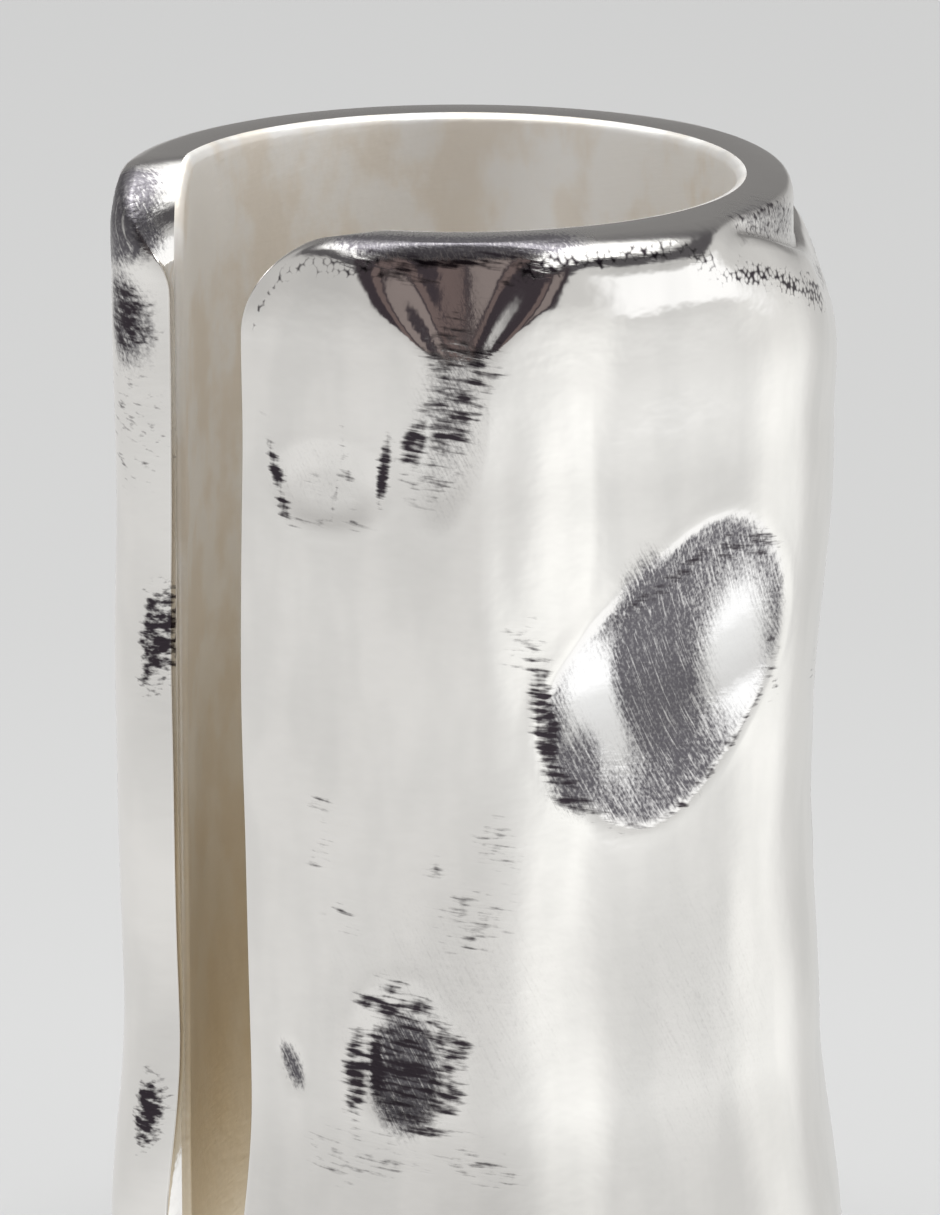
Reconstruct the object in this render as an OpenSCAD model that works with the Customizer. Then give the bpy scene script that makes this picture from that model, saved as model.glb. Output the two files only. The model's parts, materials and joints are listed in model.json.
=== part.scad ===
// Tall open cuff ring in hammered silver: one thick-walled band, slit from rim to rim.
// The bore's axis is +Z, the band stands on its lower rim at z = 0, and the slit faces -Y.
// Angles round the band are measured at the bore's axis, from the slit (0) towards +X (90).

/* [Bore and height] */
// Inside diameter of the bore, which sets the ring size
bore_d = 18; // [16:0.5:21]
// Height of the band from rim to rim
band_h = 41; // [36:1:46]

/* [Rims] */
// Wall thickness at the two ground rims
rim_wall = 1.9; // [1.6:0.1:2.3]
// Rounding of the rims' inner and outer edges
edge_r = 0.3; // [0.2:0.05:0.5]

/* [Belly] */
// Radial swell of the shoulder under the upper rim
shoulder_swell = 1; // [0.5:0.1:1.1]
// Radial swell of the waist, the slimmest place
waist_swell = 0.65; // [0.4:0.05:0.8]
// Radial swell of the foot above the lower rim
foot_swell = 1.45; // [0.8:0.05:1.5]
// Sideways shift of the belly's axis from the bore's axis
belly_shift = 0.5; // [0.2:0.05:0.6]
// Direction of that shift round the band
belly_angle = 150; // [100:5:180]

/* [Slit] */
// Clear width between the two faces of the slit
slit_w = 8.9; // [7:0.1:9.5]
// Radius of the four corners where the slit meets the rims
corner_r = 3.4; // [1:0.2:4]

/* [Hammer blows] */
// Depth of the one large blow on the front
big_dent = 0.9; // [0.4:0.1:1.1]
// Depth of the groove between the two lobes under the upper rim
valley_dent = 0.4; // [0.2:0.05:0.6]
// Factor on the depth of all the smaller blows
blow_scale = 1; // [0.5:0.1:1.5]

/* [Hidden] */
$fn = 96;

eps = 0.01;
bore_r = bore_d / 2;
rim_r = bore_r + rim_wall;

// Where the belly leaves the rims and how fast it rolls out
neck_h = 0.8;
shoulder_roll = 5;
foot_roll = 4;
shoulder_z = band_h - neck_h - shoulder_roll;
waist_z = 0.53 * band_h;
foot_z = neck_h + foot_roll;
roll_steps = 8;
flank_steps = 8;

// The large blow: its direction, height, the round face of the hammer and its lean
big_angle = 98;
big_z = 0.65 * band_h;
big_r = 11;
big_lean = 14;

// The groove under the upper rim: its direction, length and radius
valley_angle = 59;
valley_len = 9;
valley_r = 5;

// The smaller blows, each [direction, height as a share of the band, face radius, depth]
blows = [
    [40, 0.81, 8, 0.2],
    [52, 0.36, 9, 0.3],
    [108, 0.30, 26, 0.3],
    [166, 0.47, 16, 0.35],
    [186, 0.74, 12, 0.4],
    [208, 0.30, 14, 0.45],
    [244, 0.57, 20, 0.4],
    [262, 0.83, 9, 0.25],
    [286, 0.24, 11, 0.3],
    [314, 0.65, 10, 0.25],
    [318, 0.32, 8, 0.2]
];

// Eases from 0 to 1 without a kink at either end
function ease(t) = (1 - cos(180 * t)) / 2;

// Radius of the belly's flank, from the foot over the waist to the shoulder
function flank_r(z) = rim_r + (z < waist_z
    ? foot_swell + (waist_swell - foot_swell) * ease((z - foot_z) / (waist_z - foot_z))
    : waist_swell + (shoulder_swell - waist_swell) * ease((z - waist_z) / (shoulder_z - waist_z)));

// A quarter turn from the hidden start of the belly, under a rim, out to its flank
function roll_out(swell, z_start, z_len) = [
    for (i = [0 : roll_steps]) let (a = 90 * i / roll_steps)
        [rim_r - belly_shift + (swell + belly_shift) * sin(a), z_start + z_len * (1 - cos(a))]
];

// The same points from last to first
function reversed(points) = [for (i = [len(points) - 1 : -1 : 0]) points[i]];

// Stands a shape at a direction round the band, facing outwards along -Y
module at_angle(a) {
    rotate([0, 0, a]) children();
}

// The straight wall that ends in the two flat ground rims
module wall() {
    rotate_extrude() {
        translate([0, edge_r]) square([rim_r, band_h - 2 * edge_r]);
        square([rim_r - edge_r, band_h]);
        for (z = [edge_r, band_h - edge_r]) translate([rim_r - edge_r, z]) circle(edge_r, $fn = 24);
    }
}

// The swollen body, whose axis lies a little to one side of the bore
module belly() {
    flank = [
        for (i = [1 : flank_steps - 1]) let (z = foot_z + (shoulder_z - foot_z) * i / flank_steps)
            [flank_r(z), z]
    ];
    at_angle(belly_angle) translate([0, -belly_shift, 0]) rotate_extrude()
        polygon(concat(
            [[0, neck_h]],
            roll_out(foot_swell, neck_h, foot_roll),
            flank,
            reversed(roll_out(shoulder_swell, band_h - neck_h, -shoulder_roll)),
            [[0, band_h - neck_h]]
        ));
}

// The finger's bore, with both mouths rounded
module bore_cut() {
    translate([0, 0, -eps]) cylinder(h = band_h + 2 * eps, r = bore_r);
    for (low = [0, 1]) translate([0, 0, low ? 0 : band_h]) mirror([0, 0, low])
        rotate_extrude() difference() {
            translate([0, -edge_r]) square([bore_r + edge_r, edge_r + eps]);
            translate([bore_r + edge_r, -edge_r]) circle(edge_r, $fn = 24);
        }
}

// One side of the slit's outline, from its middle plane to the flare at each rim
module slit_half() {
    square([slit_w / 2, band_h]);
    for (low = [0, 1]) translate([slit_w / 2, low ? 0 : band_h]) mirror([0, low])
        difference() {
            translate([-eps, -corner_r]) square([corner_r + eps, corner_r + eps]);
            translate([corner_r, -corner_r]) circle(corner_r);
        }
    for (z = [-eps, band_h]) translate([0, z]) square([slit_w / 2 + corner_r, eps]);
}

// The slit, cut straight through the wall on the -Y side
module slit_cut() {
    rotate([90, 0, 0]) linear_extrude(height = rim_r + foot_swell + belly_shift)
        for (side = [0, 1]) mirror([side, 0]) slit_half();
}

// A round-faced blow that sinks into the outside by its depth
module blow(a, z, r, depth) {
    at_angle(a) translate([0, -(flank_r(z) + belly_shift * cos(a - belly_angle) + r - depth), z])
        sphere(r);
}

// The large blow, struck with the edge of a round bar lying across the band
module big_blow() {
    surface_r = flank_r(big_z) + belly_shift * cos(big_angle - belly_angle);
    at_angle(big_angle) translate([0, -(surface_r + big_r - big_dent), big_z])
        rotate([0, 90 - big_lean, 0]) cylinder(h = 3 * big_r, r = big_r, center = true);
}

// The groove under the upper rim
module valley() {
    surface_r = rim_r + shoulder_swell + belly_shift * cos(valley_angle - belly_angle);
    at_angle(valley_angle) translate([0, -(surface_r + valley_r - valley_dent), band_h - valley_len])
        union() {
            cylinder(h = valley_len + eps, r = valley_r);
            sphere(valley_r);
        }
}

module cuff_band() {
    color("gainsboro") difference() {
        union() {
            wall();
            belly();
        }
        bore_cut();
        slit_cut();
        big_blow();
        valley();
        for (b = blows) blow(b[0], b[1] * band_h, b[2], b[3] * blow_scale);
    }
}

cuff_band();
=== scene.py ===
import json
import math

import bmesh
import bpy
import numpy as np
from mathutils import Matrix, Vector


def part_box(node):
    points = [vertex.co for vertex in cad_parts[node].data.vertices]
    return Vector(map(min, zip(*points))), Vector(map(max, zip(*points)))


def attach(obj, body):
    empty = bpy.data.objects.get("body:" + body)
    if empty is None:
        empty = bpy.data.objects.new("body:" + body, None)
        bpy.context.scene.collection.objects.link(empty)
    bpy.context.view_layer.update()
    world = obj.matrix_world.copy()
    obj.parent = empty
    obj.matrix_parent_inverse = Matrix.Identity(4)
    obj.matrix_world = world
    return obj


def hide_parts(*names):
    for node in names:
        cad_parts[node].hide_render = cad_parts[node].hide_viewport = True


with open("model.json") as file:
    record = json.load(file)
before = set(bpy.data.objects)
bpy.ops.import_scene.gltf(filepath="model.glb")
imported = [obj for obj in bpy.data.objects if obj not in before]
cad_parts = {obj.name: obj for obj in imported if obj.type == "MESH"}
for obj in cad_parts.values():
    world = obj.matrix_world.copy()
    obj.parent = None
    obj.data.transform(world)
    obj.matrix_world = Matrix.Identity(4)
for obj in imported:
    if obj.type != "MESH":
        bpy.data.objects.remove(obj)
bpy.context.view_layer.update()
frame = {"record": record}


# ---------------------------------------------------------------- the silver band
# The whole ring is one thick piece of cast silver: a plate with rounded corners, rolled
# round a finger-sized mandrel until a slit is left, then hammered, filed and polished.
# It is made here in the same order, in millimetres, and brought to metres at the end.

MM = 0.001
band_low, band_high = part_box("cuff_band")
height = (band_high[2] - band_low[2]) / MM
bore_r = frame["record"]["mounts"][0]["dims"]["r_mm"]
rim_wall = 1.9
rim_r = bore_r + rim_wall
slit_half = 4.45
corner_r = 3.4

# the plate's grid lines are crowded where the edges of the wall are rounded over
columns, rows = 300, 152
edge_steps = 5
edge_round = 0.32
plate_half = rim_r * (math.pi - math.asin(slit_half / rim_r))
front_crowding = 0.07


def grid_lines(start, end, count, crowding):
    """Places of count + 1 grid lines, some of them through the rounded edge at each end."""
    turn = np.linspace(0, math.pi / 2, edge_steps + 1)[:-1]
    edge = edge_round * (1 - np.cos(turn))
    share = np.linspace(0, 1, count + 1 - 2 * edge_steps)
    share = share - crowding * np.sin(2 * math.pi * share)
    middle = start + edge_round + share * (end - start - 2 * edge_round)
    return np.concatenate([start + edge, middle, (end - edge)[::-1]])


plate = bmesh.new()
bmesh.ops.create_grid(plate, x_segments=columns, y_segments=rows, size=1)
bmesh.ops.solidify(plate, geom=plate.faces[:], thickness=0.1)
band_mesh = bpy.data.meshes.new("cuff_band_silver")
plate.to_mesh(band_mesh)
plate.free()

points = np.empty(len(band_mesh.vertices) * 3)
band_mesh.vertices.foreach_get("co", points)
points = points.reshape(-1, 3)
column = np.rint((points[:, 0] + 1) / 2 * columns).astype(int)
row = np.rint((points[:, 1] + 1) / 2 * rows).astype(int)
inner = np.abs(points[:, 2]) > 0.05
along = grid_lines(-plate_half, plate_half, columns, front_crowding)[column]
up = grid_lines(0, height, rows, 0)[row]

# the four corners are filed round, and the grid follows them
mid_height = height / 2
over_x = np.abs(along) - (plate_half - corner_r)
over_z = np.abs(up - mid_height) - (mid_height - corner_r)
in_corner = (over_x > 0) & (over_z > 0)
outermost = np.maximum(over_x, over_z)
pull = np.where(in_corner, outermost / np.maximum(np.hypot(over_x, over_z), 1e-9), 1)
along = np.where(in_corner, np.sign(along) * (plate_half - corner_r + over_x * pull), along)
up_in_corner = mid_height + np.sign(up - mid_height) * (mid_height - corner_r + over_z * pull)
up = np.where(in_corner, up_in_corner, up)
to_edge = np.maximum(corner_r - outermost, 0)


def ease(t):
    """0 before 0, 1 after 1 and smooth between."""
    t = np.clip(t, 0, 1)
    return t * t * (3 - 2 * t)


def hump(t):
    """1 at 0, falling smoothly to 0 at -1 and 1."""
    return ease(1 - np.abs(t))


def around(angle, centre):
    """Signed degrees from centre to angle, the short way."""
    return (angle - centre + 180) % 360 - 180


def along_height(z, *stations):
    """A smooth line through (height, value) stations."""
    levels, values = zip(*stations)
    out = np.full_like(z, values[0])
    for low, high, a, b in zip(levels, levels[1:], values, values[1:]):
        out = np.where(z > low, a + (b - a) * ease((z - low) / (high - low)), out)
    return out


# the body: slim at the waist, swollen at the shoulder and the foot, and leaning to one side
lean_angle = 150.5


def body_radius(angle, z):
    """The body between the rims, with the slow unevenness that hammering leaves."""
    middle = along_height(z, (4.5, 12.27), (12.5, 11.6), (20.5, 11.5), (33, 11.8), (37, 11.95))
    lean = along_height(z, (4.5, 0.5), (12.5, 0.38), (20.5, 0.1), (33, 0.42), (37, 0.55))
    broad, fine = 0.035, 0.022
    uneven = broad * np.sin(np.radians(5 * angle + 60) + 0.22 * z) * np.cos(0.45 * z + np.radians(2 * angle))
    uneven += fine * np.sin(np.radians(9 * angle) - 0.5 * z)
    return middle + lean * np.cos(np.radians(angle - lean_angle)) + uneven


# under the upper rim there is a ledge on the right, and a valley between two lobes on the front
ledge_angle, ledge_spread, ledge_neck = 151, 54, 2.4
valley_angle = 60.5


def rolled_profile(angle, z, roll_depth):
    """Outside radius, depth, and the ledge's satin line that is also painted grey as painted shade: the
    ground rims roll over into the body.
    """
    row_depth = height - z
    ledge = hump(around(angle, ledge_angle) / ledge_spread)
    share = ease(ledge / 0.3)
    # the right and the back keep a straight neck first; the grid lines follow the ledge below it
    neck_rows, step_rows, roll_rows, even_depth = 0.8, 0.5, 4.4, 13
    neck = ledge_neck * ledge
    step_out, hollow_neck = 0.34, 0.06
    step = step_out * ease(ledge / 0.5)
    on_neck = np.clip(row_depth / neck_rows, 0, 1)
    on_step = np.clip((row_depth - neck_rows) / step_rows, 0, 1)
    on_roll = np.clip((row_depth - neck_rows - step_rows) / roll_rows, 0, 1)
    below = np.maximum(row_depth - neck_rows - step_rows - roll_rows, 0)
    spread = (even_depth - neck - roll_rows) / (even_depth - neck_rows - step_rows - roll_rows)
    ledge_depth = neck * on_neck + roll_rows * on_roll + below * spread
    ledge_depth = np.where(row_depth < even_depth, ledge_depth, row_depth)
    depth = row_depth + (ledge_depth - row_depth) * share
    body = body_radius(angle, height - depth)
    full = np.sqrt(1 - (1 - on_roll) ** 2)
    flat = 1 - (1 - on_roll) ** 2
    curl = full + (flat - full) * ease((ledge - 0.72) / 0.28)
    side = rim_r - hollow_neck * hump(2 * on_neck - 1) + step * on_step + (body - rim_r - step) * curl
    # the front rolls over at once, and between its two lobes it only slopes
    front_roll, tighter_at_slit, ground_flat = 2.9, 1.5, 0.04
    roll = front_roll - tighter_at_slit * hump(around(angle, 325) / 60)
    top = np.clip((roll_depth + depth - row_depth - ground_flat) / roll, 0, 1)
    lobes = rim_r + (body - rim_r) * np.sqrt(1 - (1 - top) ** 2)
    slope_end, slope_bend = 5.0, 1.6
    slope = 1 - (1 - np.clip(depth / slope_end, 0, 1)) ** slope_bend
    ramp = rim_r + (body - rim_r) * slope
    across = np.radians(around(angle, valley_angle)) * body
    valley_half, valley_taper, valley_depth = 3.2, 0.72, 3.4
    half_width = valley_half - valley_taper * np.clip(depth, 0, valley_depth)
    valley = ease(1.5 - np.abs(across) / half_width)
    front = lobes + (ramp - lobes) * valley
    radius = front + (side - front) * share
    foot_flat, foot_roll = 0.6, 3.6
    foot = np.clip((height - depth - foot_flat) / foot_roll, 0, 1)
    # the ledge's satin line, painted grey as painted shade
    satin = share * ease(1 - np.abs(depth - neck) / 0.35) * ease(4 * ledge)
    return rim_r + (radius - rim_r) * np.sqrt(1 - (1 - foot) ** 2), depth, satin


# marks and strokes are laid out in millimetres, as on a plate rolled to this radius
mark_r = 12


def mark(angle, z, place, half_w, half_h, lean, power=2):
    """0 at the centre of an oval mark, 1 on its outline; a positive lean turns it anticlockwise."""
    x = np.radians(around(angle, place[0])) * mark_r
    y = z - (height - place[1])
    c, s = math.cos(math.radians(lean)), math.sin(math.radians(lean))
    across = np.abs(x * c + y * s) / half_w
    over = np.abs(y * c - x * s) / half_h
    return (across ** power + over ** power) ** (1 / power)


# the large blow of a round-faced hammer: direction and depth below the upper rim, then size
big_blow = (98, 14.35)
big_half_w, big_half_h, big_lean = 5.4, 3.7, 42
big_depth = 0.82
big_squareness = 2.8


def big_reach(angle, z):
    """0 at the centre of the large blow and 1 on its outline."""
    return mark(angle, z, big_blow, big_half_w, big_half_h, big_lean, big_squareness)


# the smaller blows: direction and depth below the upper rim, half width, half height, lean, depth
blows = [
    ((39.6, 7.9), 1.9, 1.25, 0, 0.12),
    ((51.2, 26.5), 1.7, 2.1, 0, 0.16),
    ((59.0, 6.4), 0.9, 2.4, -10, 0.10),
    ((32.3, 27.3), 0.5, 0.9, 25, 0.05),
    ((72, 9), 1.6, 6.0, 0, 0.06),
    ((121, 26), 3.4, 5.0, -10, 0.03),
    ((228, 9), 1.4, 3.2, 12, 0.12),
    ((318, 28), 1.8, 2.4, 0, 0.10),
]

# and more full blows on the back, of the same flat oval
full_squareness = 2.6
back_blows = [
    ((166, 21.5), 4.4, 2.9, -38, 0.48),
    ((186, 10), 2.9, 2.0, 24, 0.30),
    ((208, 29), 3.6, 2.6, -30, 0.40),
    ((244, 18), 5.0, 3.2, 36, 0.52),
    ((262, 7), 2.2, 1.7, -12, 0.24),
    ((286, 31), 2.9, 2.1, -25, 0.32),
    ((306, 14), 2.4, 3.0, 15, 0.26),
]


def hammered(angle, z):
    """How deep the blows go, with the lip that each one raises round itself."""
    reach = big_reach(angle, z)
    deep = big_depth * np.clip(1 - reach ** 2, 0, 1) - 0.02 * hump((reach - 1.06) / 0.1)
    for place, half_w, half_h, lean, depth in blows:
        reach = mark(angle, z, place, half_w, half_h, lean, 2.2)
        deep += depth * (ease((1.15 - reach) / 0.6) - 0.12 * hump((reach - 1.2) / 0.2))
    for place, half_w, half_h, lean, depth in back_blows:
        reach = mark(angle, z, place, half_w, half_h, lean, full_squareness)
        deep += depth * (np.clip(1 - reach ** 2, 0, 1) - 0.04 * hump((reach - 1.08) / 0.12))
    return deep


mean_outside = rim_r + 0.5
sweep_out = 180 - math.degrees(math.asin(slit_half / mean_outside))
sweep_in = 180 - math.degrees(math.asin(slit_half / bore_r))
# the two long edges of the slit wander a little, as they were filed by eye
filed_width = 3
near_left = ease(1 - (plate_half - along) / filed_width)
near_right = ease(1 - (plate_half + along) / filed_width)
depth = height - up
wander_right = 0.10 * np.sin(depth * 0.27 + 0.4) - 0.05
wander_left = 0.12 * np.sin(depth * 0.5 - 2.2) - 0.14
wander = near_right * wander_right + near_left * wander_left
along_worked = along + np.where(to_edge < 4, wander, 0) * ease((depth - 3) / 4)
angle = 180 + along_worked / plate_half * np.where(inner, sweep_in, sweep_out)
fade = ease(depth / (1.1 * corner_r))
outside, worked_depth, ledge_satin_and_shade = rolled_profile(angle, up, to_edge + (depth - to_edge) * fade)
up = np.where(inner, up, height - worked_depth)
outside = outside - hammered(angle, up)

# the edge of the wall is rounded over from both faces, most of all at the slit's left end
extra_round = 1.72
left_end = ease((angle - 314) / 12) * ease((depth - 0.3) / 3.6)
in_valley = hump(around(angle, valley_angle) / 17) * ease((4 - depth) / 2)
softness = edge_round * np.where(inner, 1, 1 - 0.75 * in_valley) + np.where(inner, 0, extra_round) * left_end
near_edge = np.clip(1 - to_edge / softness, 0, 1)
drop = softness * (1 - np.sqrt(1 - near_edge ** 2))
radius = np.where(inner, bore_r + drop, outside - drop)

# the upper rim was ground with a slight tilt on its right
tilt_drop = 0.2
tilt = tilt_drop * hump(around(angle, 135) / 55) * ease(1 - depth / 1.2)
up = up - tilt * (radius - bore_r) / rim_wall

turn = np.radians(angle)
points[:, 0] = radius * np.sin(turn) * MM
points[:, 1] = -radius * np.cos(turn) * MM
points[:, 2] = up * MM
band_mesh.vertices.foreach_set("co", points.ravel())
band_mesh.update()

shell = bmesh.new()
shell.from_mesh(band_mesh)
bmesh.ops.recalc_face_normals(shell, faces=shell.faces[:])
shell.to_mesh(band_mesh)
shell.free()
band_mesh.shade_smooth()

# dark patina stays in the hollows where the polishing wheel didn't reach, and dark reflections are painted
# on the slopes that face the dark opening in front:
# direction and depth below the upper rim, half width, half height, lean, strength, softness
patina_and_reflection_marks = [
    ((60.6, 3.8), 1.2, 1.6, 0, 0.60, 0.5),
    ((59.0, 5.4), 0.95, 1.6, -14, 0.66, 0.5),
    ((56.0, 7.2), 0.8, 0.9, -20, 0.58, 0.6),
    ((53.6, 6.3), 0.42, 0.95, -14, 1.0, 0.5),
    ((30.8, 7.8), 0.2, 1.35, 16, 0.95, 0.8),
    ((37.0, 9.15), 1.6, 0.12, 4, 0.42, 1.0),
    ((40.6, 8.3), 0.08, 0.9, -10, 0.7, 1.0),
    ((48.7, 7.3), 0.2, 0.95, -9, 1.1, 0.7),
    ((43.0, 7.4), 0.14, 1.3, 8, 0.5, 1.0),
    ((36.9, 7.7), 0.25, 0.5, 0, 0.4, 1.0),
    ((46.9, 26.9), 0.26, 1.3, 4, 1.2, 0.6),
    ((47.4, 25.0), 0.8, 0.4, -25, 0.9, 0.5),
    ((51.6, 26.8), 1.0, 2.0, 0, 0.72, 0.5),
    ((57.4, 27.7), 0.75, 1.2, -14, 0.82, 0.6),
    ((54.6, 28.9), 1.2, 0.35, -8, 0.8, 0.6),
    ((57.6, 26.1), 1.0, 0.8, -20, 0.74, 0.6),
    ((43.6, 27.3), 0.4, 1.6, -4, 0.86, 0.6),
    ((52.4, 24.7), 1.3, 0.35, -38, 0.8, 0.6),
    ((74.2, 15.6), 0.45, 2.3, 10, 0.95, 0.5),
    ((78.6, 18.1), 0.9, 0.4, -28, 0.8, 0.6),
    ((95.0, 11.4), 2.0, 0.4, 24, 0.66, 0.6),
    ((110, 10.6), 1.8, 0.5, -6, 0.6, 0.6),
    ((119.6, 14.3), 0.3, 1.7, 0, 0.5, 0.7),
    ((332.6, 4.7), 0.7, 1.3, 6, 0.85, 0.5),
    ((335.2, 15.6), 0.24, 1.7, 0, 0.95, 0.6),
    ((335.0, 31.8), 0.28, 1.2, 0, 1.1, 0.6),
    ((61.5, 0.5), 3.2, 0.2, 0, 0.95, 0.6),
    ((50.0, 0.8), 1.5, 0.26, -18, 0.8, 0.7),
    ((73.0, 0.8), 1.5, 0.26, 18, 0.75, 0.7),
    ((41.0, 0.85), 1.4, 0.1, 0, 0.6, 1.0),
    ((81.0, 0.5), 1.8, 0.22, 0, 0.7, 0.8),
    ((92.0, 0.5), 1.6, 0.22, 0, 0.74, 0.8),
    ((101.5, 1.05), 1.2, 0.22, -28, 0.66, 0.8),
    ((112.0, 1.8), 1.5, 0.28, -10, 0.9, 0.8),
    ((121.0, 2.4), 1.0, 0.3, -28, 0.9, 0.8),
    ((130.0, 3.1), 1.2, 0.4, -25, 0.9, 0.8),
    ((130.0, 0.7), 3.6, 0.7, -12, 0.5, 0.6),
    ((333, 8.3), 0.8, 1.6, 0, 0.34, 1.0),
    ((38.3, 18.5), 0.5, 0.3, 0, 0.5, 1.0),
    ((38.0, 20.2), 0.4, 0.5, 0, 0.42, 1.0),
    ((41.7, 22.0), 0.5, 0.5, 0, 0.44, 1.0),
    ((57.3, 20.4), 0.4, 0.4, 0, 0.45, 1.0),
    ((66.3, 19.6), 0.7, 0.7, 0, 0.44, 1.0),
    ((62.4, 22.0), 1.0, 1.0, 0, 0.44, 1.0),
    ((71.0, 12.9), 0.6, 0.8, 0, 0.42, 1.0),
    ((64.0, 30.2), 1.0, 0.6, -20, 0.44, 1.0),
    ((46.0, 30.0), 2.0, 0.8, 0, 0.36, 1.0),
    ((150, 3.4), 2.4, 0.4, -8, 0.8, 0.8),
    ((170, 3.0), 2.4, 0.4, 10, 0.8, 0.8),
    ((190, 1.9), 2.0, 0.3, 25, 0.8, 0.8),
    ((180, 32.5), 1.3, 1.6, -10, 0.7, 0.5),
    ((228, 9.0), 0.7, 2.6, 12, 0.75, 0.5),
    ((231, 26.5), 1.0, 2.2, 0, 0.72, 0.5),
    ((272, 14.0), 0.9, 1.8, 8, 0.7, 0.5),
    ((303, 24.0), 0.8, 1.6, 0, 0.66, 0.5),
]
# small nicks all over the back
patina_and_reflection_marks += [
    ((138 + 53.7 * i % 182, 3 + 13.3 * i % 35.5), 0.4 + 0.3 * (i % 3), 0.35 + 0.2 * (i % 2), 0, 0.43, 1.0)
    for i in range(34)
]

# and in places its colour is painted a dull grey: painted shade and dark reflection
dull_marks = [
    ((95.3, 14.3), 1.8, 4.0, 14, 1.0, 0.25),
    ((96.5, 11.6), 2.4, 1.0, 20, 0.8, 0.4),
    ((79.6, 17.2), 1.0, 1.3, 0, 0.85, 0.5),
    ((51.6, 27.2), 1.15, 1.9, 0, 1.0, 0.4),
    ((32.3, 27.3), 0.32, 0.8, 25, 0.8, 0.4),
    ((59.5, 5.0), 1.0, 3.0, -8, 0.4, 0.8),
    ((59.0, 25.0), 3.2, 3.0, 0, 0.15, 1.0),
    ((103, 26.0), 3.2, 4.0, 0, 0.13, 1.0),
    ((38.0, 7.6), 1.8, 1.2, 0, 0.12, 0.6),
    ((330.5, 1.3), 1.6, 1.7, 0, 1.3, 0.4),
    ((60.0, 0.05), 4.2, 0.4, 0, 1.4, 0.4),
    ((332.4, 4.8), 0.8, 1.6, 6, 0.7, 0.5),
    ((130.0, 0.8), 3.6, 0.7, -12, 0.5, 0.6),
]
# painted highlights: two patches in the large blow's floor painted pure white where it shows bright
# reflections
painted_highlight_marks = [
    ((83.4, 15.0), 1.2, 2.7, 22, 0.95, 0.7),
    ((112.0, 14.2), 1.4, 2.6, 0, 0.95, 0.7),
]


def laid_on(marks):
    """The strongest of the marks at every point."""
    out = np.zeros(len(points))
    for place, half_w, half_h, lean, strength, soft in marks:
        reach = mark(angle, up, place, half_w, half_h, lean)
        out = np.maximum(out, strength * ease((1 + soft - reach) / (2 * soft)))
    return out


# a dark line is also painted under the large blow's lower lip and along the filed corner, as painted
# reflection
patina = laid_on(patina_and_reflection_marks)
from_blow = big_reach(angle, up)
lower_edge = hump((from_blow - 0.98) / 0.07) * ease((height - big_blow[1] - up) / 1.5)
patina = np.maximum(patina, 0.7 * lower_edge)
corner_line = hump((to_edge - 0.66) / 0.16) * ease((47 - angle) / 4) * ease((3.4 - depth) / 1.2)
patina = np.maximum(patina, np.where(angle < 90, 0.58 * corner_line, 0))
# on the slit's left end the side next to the bore is kept clear of the painted dark and grey, and stays
# bright
bore_side = ease((angle - 322) / 6) * ease((9 - depth) / 1.5) * ease((10.1 - radius) / 0.5)
patina *= 1 - bore_side
dull = laid_on(dull_marks) * (1 - bore_side)
highlight_patches = laid_on(painted_highlight_marks)
# the floor of the large blow is painted grey as painted shade, but for its painted highlights
dull = np.maximum(dull, 0.8 * ease((1.0 - from_blow) / 0.07) * (1 - highlight_patches))

# the floors of the blows on the back are painted grey as painted shade, but for one bright patch in each
# left as a painted highlight, and a painted dark line runs along the lower part of each one's outline
for place, half_w, half_h, lean, sunk in back_blows:
    within = mark(angle, up, place, half_w, half_h, lean, full_squareness)
    floor_shade = 1.4 * min(sunk, 0.5)
    patch_place = (place[0] + 6, place[1] + 0.4)
    patch = mark(angle, up, patch_place, 0.42 * half_w, 0.8 * half_h, lean - 30)
    dull = np.maximum(dull, floor_shade * ease((1 - within) / 0.12) * (1 - ease((1.5 - patch) / 0.9)))
    rim_of_blow = hump((within - 0.97) / 0.09) * ease((up - height + place[1] + 0.6 * half_h) / -1.0)
    patina = np.maximum(patina, (0.4 + 0.6 * sunk) * rim_of_blow)

# the skin is pitted under the upper rim, round the neck and at the front corner
pitted = ease((angle - 68) / 6) * ease((200 - angle) / 20) * ease((4.2 - depth) / 0.8)
pitted = np.maximum(pitted, ease((50 - angle) / 4) * ease((3.6 - depth) / 0.5))

# the rims and the ledge are satin from the file, and their colour is painted a darker grey as painted shade
rim_reach = edge_round * (1 + 0.5 * hump(around(angle, 50) / 60))
rim = ease((1.3 - np.minimum(up, height - up)) / 1.2) * ease(1.2 - to_edge / rim_reach)
rim = np.maximum(rim, ledge_satin_and_shade)
# the painted grey runs on over the top of the slit's left end
rim = np.maximum(rim, 0.8 * hump(around(angle, 328) / 26) * ease((1.3 - depth) / 0.8))

# where each point lies on the flat plate, so that strokes and clouds follow the wall
plate_place = np.stack([np.radians(angle - 180) * mark_r, up, radius], axis=1)

# the painted highlights are kept inside the large blow
burnished = highlight_patches * ease((1.05 - from_blow) / 0.15)
finishes = (("patina", patina), ("dull", dull), ("pitted", pitted), ("rim", rim), ("burnished", burnished))
for name, values in finishes:
    layer = band_mesh.attributes.new(name, "FLOAT", "POINT")
    layer.data.foreach_set("value", values if name == "rim" else np.where(inner, 0, values))
layer = band_mesh.attributes.new("plate", "FLOAT_VECTOR", "POINT")
layer.data.foreach_set("vector", plate_place.ravel())


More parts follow.
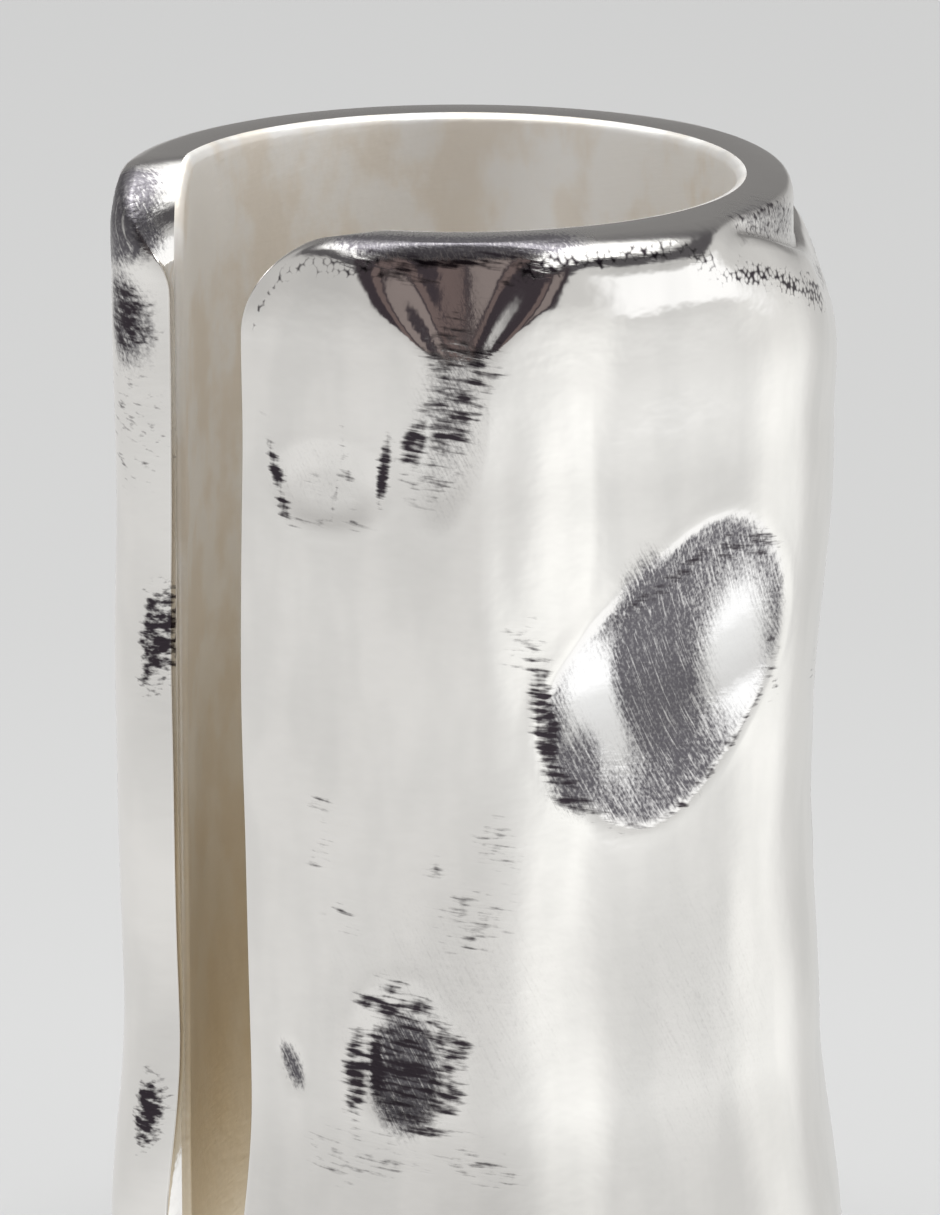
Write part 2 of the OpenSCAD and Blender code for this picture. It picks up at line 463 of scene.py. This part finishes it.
def pen(tree):
    """Four short ways to add nodes to a material or a group."""
    nodes, links = tree.nodes, tree.links

    def put(kind, sockets, **settings):
        node = nodes.new(kind)
        for name, value in settings.items():
            setattr(node, name, value)
        for key, value in sockets.items():
            if isinstance(value, bpy.types.NodeSocket):
                links.new(value, node.inputs[key])
            else:
                node.inputs[key].default_value = value
        return node

    def sums(operation, a, b, c=0.0, clamp=False):
        return put("ShaderNodeMath", {0: a, 1: b, 2: c}, operation=operation, use_clamp=clamp).outputs[0]

    def blend(mask, under, over):
        return put("ShaderNodeMix", {0: mask, 6: under, 7: over}, data_type="RGBA").outputs[2]

    def ranged(value, low, high, to_low=0.0, to_high=1.0, kind="LINEAR"):
        sockets = {0: value, 1: low, 2: high, 3: to_low, 4: to_high}
        return put("ShaderNodeMapRange", sockets, interpolation_type=kind).outputs[0]

    return put, sums, blend, ranged


def stretched_noise(put, place, lean, size_along, size_across, detail):
    """Noise drawn out into strokes: the sizes are in millimetres."""
    turned = put("ShaderNodeMapping", {0: place, "Rotation": (0, 0, math.radians(lean))})
    scale = (1 / size_along, 1 / size_across, 0.5 / size_across)
    sized = put("ShaderNodeMapping", {0: turned.outputs[0], "Scale": scale})
    noise = put("ShaderNodeTexNoise", {"Vector": sized.outputs[0], "Scale": 1.0, "Detail": detail})
    return noise.outputs[0]


# strokes of the polishing strip, scratches and the fine pebbling of hammered silver:
# name, lean in degrees, length and width in millimetres, detail
stroke_kinds = (
    ("Strokes", 9, 1.1, 0.16, 2.5),
    ("Scratches", 62, 2.2, 0.08, 2),
    ("Blots", 0, 0.45, 0.4, 3),
    ("Pebbling", 0, 0.9, 0.7, 2),
    ("Grain", 62, 0.13, 0.09, 2),
    ("Clouds", 0, 1.6, 5.0, 2),
)
strokes = bpy.data.node_groups.new("polishing_strokes", "ShaderNodeTree")
strokes.interface.new_socket("Place", in_out="INPUT", socket_type="NodeSocketVector")
for name, *_ in stroke_kinds:
    strokes.interface.new_socket(name, in_out="OUTPUT", socket_type="NodeSocketFloat")
strokes.interface.new_socket("Bubbles", in_out="OUTPUT", socket_type="NodeSocketFloat")
put, sums, blend, ranged = pen(strokes)
place = strokes.nodes.new("NodeGroupInput").outputs["Place"]
out = strokes.nodes.new("NodeGroupOutput")
for name, lean, size_along, size_across, detail in stroke_kinds:
    strokes.links.new(stretched_noise(put, place, lean, size_along, size_across, detail), out.inputs[name])
cells = put("ShaderNodeTexVoronoi", {"Vector": place, "Scale": 5.5}, voronoi_dimensions="2D")
strokes.links.new(cells.outputs["Distance"], out.inputs["Bubbles"])

# the outside and the edges: polished bright, satin where the rims were ground flat
silver = bpy.data.materials.new("hammered_silver")
silver.use_nodes = True
put, sums, blend, ranged = pen(silver.node_tree)


def layer_of(name):
    """A layer that was painted on the band's mesh."""
    return put("ShaderNodeAttribute", {}, attribute_name=name)


place = layer_of("plate").outputs["Vector"]
work = put("ShaderNodeGroup", {}, node_tree=strokes)
silver.node_tree.links.new(place, work.inputs["Place"])
patina_and_reflection_value = layer_of("patina").outputs["Fac"]
dull_value = layer_of("dull").outputs["Fac"]
pitted_value = layer_of("pitted").outputs["Fac"]
rim_value = layer_of("rim").outputs["Fac"]

# the outline of the patina and painted dark reflection is drawn out by the strokes, and bubbly where the
# skin is pitted
stroke_pull, bubble_pull, bubble_size = 2.2, 1.2, 0.46
blot = sums("SUBTRACT", work.outputs["Blots"], 0.5)
raggedness = sums("MULTIPLY_ADD", sums("SUBTRACT", work.outputs["Strokes"], 0.5), stroke_pull, blot)
bubbly = sums("MULTIPLY_ADD", sums("SUBTRACT", work.outputs["Bubbles"], bubble_size), bubble_pull, blot)
ragged = sums("ADD", patina_and_reflection_value, sums("MULTIPLY", raggedness, sums("SUBTRACT", 1, pitted_value)))
ragged = sums("MULTIPLY_ADD", bubbly, pitted_value, ragged)
dark = ranged(ragged, 0.34, 1.05, kind="SMOOTHSTEP")
dark = sums("MULTIPLY", dark, sums("MULTIPLY", patina_and_reflection_value, 6, clamp=True))

# the painted grey shade is streaky, with bright scratches through it, which the ground rims don't have
bright_scratch = ranged(work.outputs["Scratches"], 0.56, 0.9)
grain = ranged(work.outputs["Grain"], 0.3, 0.7, 0.84, 1.12)
streaky = sums("MULTIPLY_ADD", sums("SUBTRACT", 0.5, work.outputs["Scratches"]), 0.8, dull_value)
streaky = sums("MULTIPLY_ADD", sums("SUBTRACT", work.outputs["Grain"], 0.5), 0.8, streaky)
streaky = ranged(streaky, 0.0, 1.0, kind="SMOOTHSTEP")
streaky = sums("MULTIPLY", streaky, sums("MULTIPLY", dull_value, 2.5, clamp=True))
bright_scratch = sums("MULTIPLY", bright_scratch, sums("SUBTRACT", 1, rim_value))
grey = sums("MULTIPLY", sums("MULTIPLY", streaky, grain), sums("SUBTRACT", 1, bright_scratch), clamp=True)

# the rims' grey and the streaky grey are painted shade, the pure white is a painted highlight, and the black
# is patina and painted dark reflection
bright_silver = (0.95, 0.937, 0.915, 1)
clouded_silver = (0.89, 0.88, 0.86, 1)
shaded_ground_silver = (0.74, 0.725, 0.71, 1)
painted_highlight_silver = (1.0, 1.0, 1.0, 1)
painted_shade_grey = (0.15, 0.143, 0.158, 1)
patina_and_reflection_black = (0.05, 0.041, 0.05, 1)
mottled = ranged(work.outputs["Clouds"], 0.35, 0.65, kind="SMOOTHSTEP")
tone = blend(rim_value, blend(mottled, clouded_silver, bright_silver), shaded_ground_silver)
tone = blend(layer_of("burnished").outputs["Fac"], tone, painted_highlight_silver)
tone = blend(grey, tone, painted_shade_grey)
tone = blend(dark, tone, patina_and_reflection_black)

polished, ground, dull_rougher, patina_more = 0.08, 0.16, 0.24, 0.12
gloss = sums("MULTIPLY_ADD", rim_value, ground, polished)
gloss = sums("MULTIPLY_ADD", grey, dull_rougher, gloss)
gloss = sums("MULTIPLY_ADD", dark, patina_more, gloss)

relief_height = 0.03 * MM
worked = sums("MULTIPLY", sums("MAXIMUM", patina_and_reflection_value, dull_value), 0.9)
pits = sums("MULTIPLY", work.outputs["Pebbling"], sums("MULTIPLY_ADD", pitted_value, 0.5, 0.5))
bumps = sums("MULTIPLY_ADD", work.outputs["Strokes"], worked, pits)
bumps = sums("MULTIPLY_ADD", sums("MULTIPLY", work.outputs["Grain"], dull_value), 0.5, bumps)
relief = put("ShaderNodeBump", {"Strength": 0.6, "Distance": relief_height, "Height": bumps})
surface = silver.node_tree.nodes["Principled BSDF"]
surface.inputs["Metallic"].default_value = 1
for socket, value in (("Base Color", tone), ("Roughness", gloss), ("Normal", relief.outputs[0])):
    silver.node_tree.links.new(value, surface.inputs[socket])

# the bore: left satin from the mandrel; its colour is painted darker and warmer from its middle down, as
# painted shade and reflection deep inside
satin = bpy.data.materials.new("satin_bore")
satin.use_nodes = True
put, sums, blend, ranged = pen(satin.node_tree)
place = layer_of("plate").outputs["Vector"]
work = put("ShaderNodeGroup", {}, node_tree=strokes)
satin.node_tree.links.new(place, work.inputs["Place"])
clean_satin = (1.0, 0.99, 0.97, 1)
clouded_satin = (0.94, 0.89, 0.82, 1)
shaded_warm_satin = (0.76, 0.67, 0.52, 1)
clouded = ranged(stretched_noise(put, place, 0, 2.6, 3.4, 4), 0.42, 0.62, kind="SMOOTHSTEP")
level_on_bore = put("ShaderNodeSeparateXYZ", {0: place}).outputs[1]
lowness = ranged(level_on_bore, 0.72 * height, 0.1 * height)
tone = blend(clouded, clean_satin, clouded_satin)
tone = blend(sums("MULTIPLY", lowness, 0.9), tone, shaded_warm_satin)

# it is a little rougher towards the upper rim, where the mandrel only touched it lightly
gloss = sums("MULTIPLY_ADD", work.outputs["Clouds"], -0.25, 0.55)
gloss = sums("MULTIPLY_ADD", ranged(lowness, 0.8, 0.0), 0.13, gloss)
bumps = sums("MULTIPLY_ADD", work.outputs["Strokes"], 0.6, work.outputs["Pebbling"])
relief = put("ShaderNodeBump", {"Strength": 0.5, "Distance": relief_height, "Height": bumps})
surface = satin.node_tree.nodes["Principled BSDF"]
surface.inputs["Metallic"].default_value = 1
for socket, value in (("Base Color", tone), ("Roughness", gloss), ("Normal", relief.outputs[0])):
    satin.node_tree.links.new(value, surface.inputs[socket])

band = bpy.data.objects.new("cuff_band_silver", band_mesh)
bpy.context.collection.objects.link(band)
for finish in (silver, satin):
    band_mesh.materials.append(finish)
corners = np.empty(len(band_mesh.loops), dtype=int)
band_mesh.loops.foreach_get("vertex_index", corners)
starts = np.empty(len(band_mesh.polygons), dtype=int)
band_mesh.polygons.foreach_get("loop_start", starts)
inside_face = np.minimum.reduceat(inner[corners].astype(int), starts)
band_mesh.polygons.foreach_set("material_index", inside_face)
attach(band, "root")
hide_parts("cuff_band")


# ---------------------------------------------------------------- the table top
# A wide sheet of matt pale card that the ring stands on. It is one flat square, much larger
# than the ring, and the silver doesn't mirror it: the tent's own low cloths stand in for it.

card_half = 1.5
floor = bmesh.new()
bmesh.ops.create_grid(floor, x_segments=1, y_segments=1, size=card_half)
floor_mesh = bpy.data.meshes.new("table_top")
floor.to_mesh(floor_mesh)
floor.free()
table_top = bpy.data.objects.new("table_top", floor_mesh)
bpy.context.collection.objects.link(table_top)
paper = bpy.data.materials.new("pale_card")
paper.use_nodes = True
card = paper.node_tree.nodes["Principled BSDF"]
card.inputs["Roughness"].default_value = 0.9
# the card's colour is painted a shade lighter close to the ring: a painted pool of light where the most
# light falls
on_card = paper.node_tree.nodes.new("ShaderNodeTexCoord")
far = paper.node_tree.nodes.new("ShaderNodeVectorMath")
far.operation = "LENGTH"
paper.node_tree.links.new(on_card.outputs["Object"], far.inputs[0])
shade = paper.node_tree.nodes.new("ShaderNodeValToRGB")
near_shade, far_shade = shade.color_ramp.elements
near_shade.position = 0.02
near_shade.color = (0.53, 0.534, 0.54, 1)
far_shade.position = 0.24
far_shade.color = (0.442, 0.445, 0.449, 1)
middle_shade = shade.color_ramp.elements.new(0.1)
middle_shade.color = (0.475, 0.478, 0.482, 1)
paper.node_tree.links.new(far.outputs["Value"], shade.inputs[0])
paper.node_tree.links.new(shade.outputs[0], card.inputs["Base Color"])
floor_mesh.materials.append(paper)
table_top.visible_glossy = False


# ---------------------------------------------------------------- the light tent
# White cloth all round, a bright cloth overhead, a dark gap between the two, and the dark
# opening in front where the camera stands.

front_azimuth = 60.5
world = bpy.data.worlds.new("light_tent")
bpy.context.scene.world = world
world.use_nodes = True
tent, wires = world.node_tree.nodes, world.node_tree.links
tent.clear()


def tent_math(operation, a, b=None):
    """One sum on angles or masks."""
    node = tent.new("ShaderNodeMath")
    node.operation = operation
    for socket, value in zip(node.inputs, (a, b)):
        if isinstance(value, (int, float)):
            socket.default_value = value
        elif value is not None:
            wires.new(value, socket)
    return node.outputs[0]


def tent_band(value, low, high, soft):
    """1 between low and high and 0 outside, with edges of that softness."""
    steps = []
    for edge, sign in ((low, 1), (high, -1)):
        step = tent.new("ShaderNodeMapRange")
        step.interpolation_type = "SMOOTHSTEP"
        wires.new(value, step.inputs["Value"])
        step.inputs["From Min"].default_value = edge - sign * soft / 2
        step.inputs["From Max"].default_value = edge + sign * soft / 2
        steps.append(step.outputs[0])
    return tent_math("MULTIPLY", *steps)


def tent_mix(mask, below, above):
    """One tone over another, through a mask."""
    node = tent.new("ShaderNodeMix")
    node.data_type = "RGBA"
    wires.new(mask, node.inputs["Factor"])
    for socket, value in ((node.inputs[6], below), (node.inputs[7], above)):
        if isinstance(value, tuple):
            socket.default_value = (*value, 1)
        else:
            wires.new(value, socket)
    return node.outputs[2]


sky = tent.new("ShaderNodeTexCoord")
facing = tent.new("ShaderNodeVectorRotate")
facing.rotation_type = "Z_AXIS"
facing.inputs["Angle"].default_value = -math.radians(front_azimuth)
wires.new(sky.outputs["Generated"], facing.inputs["Vector"])
axes = tent.new("ShaderNodeSeparateXYZ")
wires.new(facing.outputs[0], axes.inputs[0])
towards_camera = tent_math("MULTIPLY", axes.outputs["Y"], -1)
side = tent_math("DEGREES", tent_math("ARCTAN2", axes.outputs["X"], towards_camera))
level = tent_math("DEGREES", tent_math("ARCSINE", axes.outputs["Z"]))


def hang(behind, tone, sideways=None, upright=None):
    """A cloth in front of the rest: from, to and softness in degrees, sideways and in height."""
    masks = []
    if sideways:
        masks.append(tent_band(side, *sideways))
    if upright:
        masks.append(tent_band(level, *upright))
    mask = tent_math("MULTIPLY", *masks) if len(masks) == 2 else masks[0]
    return tent_mix(mask, behind, tone)


# the wall of cloth: plain on the left, lighter on the right, with two bright folds
left_cloth, right_cloth = (0.75, 0.745, 0.735), (0.85, 0.85, 0.84)
cloth = tent_mix(tent_band(side, 12, 134, 18), left_cloth, right_cloth)
cloth = hang(cloth, (0.70, 0.70, 0.69), sideways=(138, 300, 14))
cloth = hang(cloth, (1.08, 1.08, 1.06), sideways=(20, 42, 12))
cloth = hang(cloth, (1.04, 1.04, 1.02), sideways=(100, 128, 16))

# it gets dimmer towards the top
dimmer = tent.new("ShaderNodeMapRange")
dimmer.inputs["From Min"].default_value = -22
dimmer.inputs["From Max"].default_value = 6
dimmer.inputs["To Max"].default_value = 0.68
wires.new(level, dimmer.inputs["Value"])
cloth = tent_mix(dimmer.outputs[0], cloth, (0.42, 0.41, 0.40))

# a soft box and a white card on the right, and the card on the table below everything
cloth = hang(cloth, (1.06, 1.06, 1.06), sideways=(40, 110, 14), upright=(-3, 26, 6))
cloth = hang(cloth, (1.05, 1.05, 1.05), sideways=(45, 115, 14), upright=(-46, -24, 6))
cloth = hang(cloth, (0.55, 0.545, 0.54), upright=(-200, -46, 10))

# the unlit far side, the dark gap, the cloth overhead and the lamp straight above
behind_ring = tent_band(tent_math("ABSOLUTE", side), 150, 400, 24)
far_side = tent_math("MULTIPLY", behind_ring, tent_band(level, 3, 70, 8))
cloth = tent_mix(far_side, cloth, (0.24, 0.235, 0.23))
cloth = hang(cloth, (0.09, 0.085, 0.09), upright=(34, 48, 6))
cloth = hang(cloth, (1.5, 1.5, 1.48), upright=(52, 200, 4))
cloth = hang(cloth, (8.0, 8.0, 7.9), upright=(72, 200, 8))

# the dark opening in front, with two dim posts in it
cloth = hang(cloth, (0.045, 0.036, 0.042), sideways=(-27, 24, 6), upright=(4, 47, 4))
cloth = hang(cloth, (0.15, 0.112, 0.107), sideways=(-8, 0, 2), upright=(4, 41, 3))
cloth = hang(cloth, (0.24, 0.2, 0.19), sideways=(3, 16, 3), upright=(8, 42, 4))

glow = tent.new("ShaderNodeBackground")
wires.new(cloth, glow.inputs["Color"])
plain = tent.new("ShaderNodeBackground")
plain.inputs["Color"].default_value = (0.66, 0.66, 0.66, 1)
ray = tent.new("ShaderNodeLightPath")
pick = tent.new("ShaderNodeMixShader")
wires.new(ray.outputs["Is Camera Ray"], pick.inputs[0])
wires.new(glow.outputs[0], pick.inputs[1])
wires.new(plain.outputs[0], pick.inputs[2])
shown = tent.new("ShaderNodeOutputWorld")
wires.new(pick.outputs[0], shown.inputs["Surface"])


# ---------------------------------------------------------------- the camera
# A long lens, 300 mm from the ring and looking a little down on it, turned to the front of
# the band so that the slit is seen on the left. It is aimed above the middle of the ring.

camera = bpy.data.cameras.new("camera")
camera.lens = 270
camera.sensor_width = 36
camera.clip_start = 0.01
camera.clip_end = 20
viewer = bpy.data.objects.new("camera", camera)
bpy.context.collection.objects.link(viewer)
bpy.context.scene.camera = viewer
look_az = math.radians(front_azimuth)
look_el = math.radians(14.8)
look_far = 300 * MM
aim_height, aim_right = 26.3 * MM, 0.33 * MM
level_part = math.cos(look_el)
back = Vector((math.sin(look_az) * level_part, -math.cos(look_az) * level_part, math.sin(look_el)))
right = Vector((math.cos(look_az), math.sin(look_az), 0))
aim = Vector((0, 0, aim_height)) + right * aim_right
viewer.location = aim + back * look_far
viewer.rotation_euler = back.to_track_quat("Z", "Y").to_euler()

scene = bpy.context.scene
scene.view_settings.view_transform = "Standard"
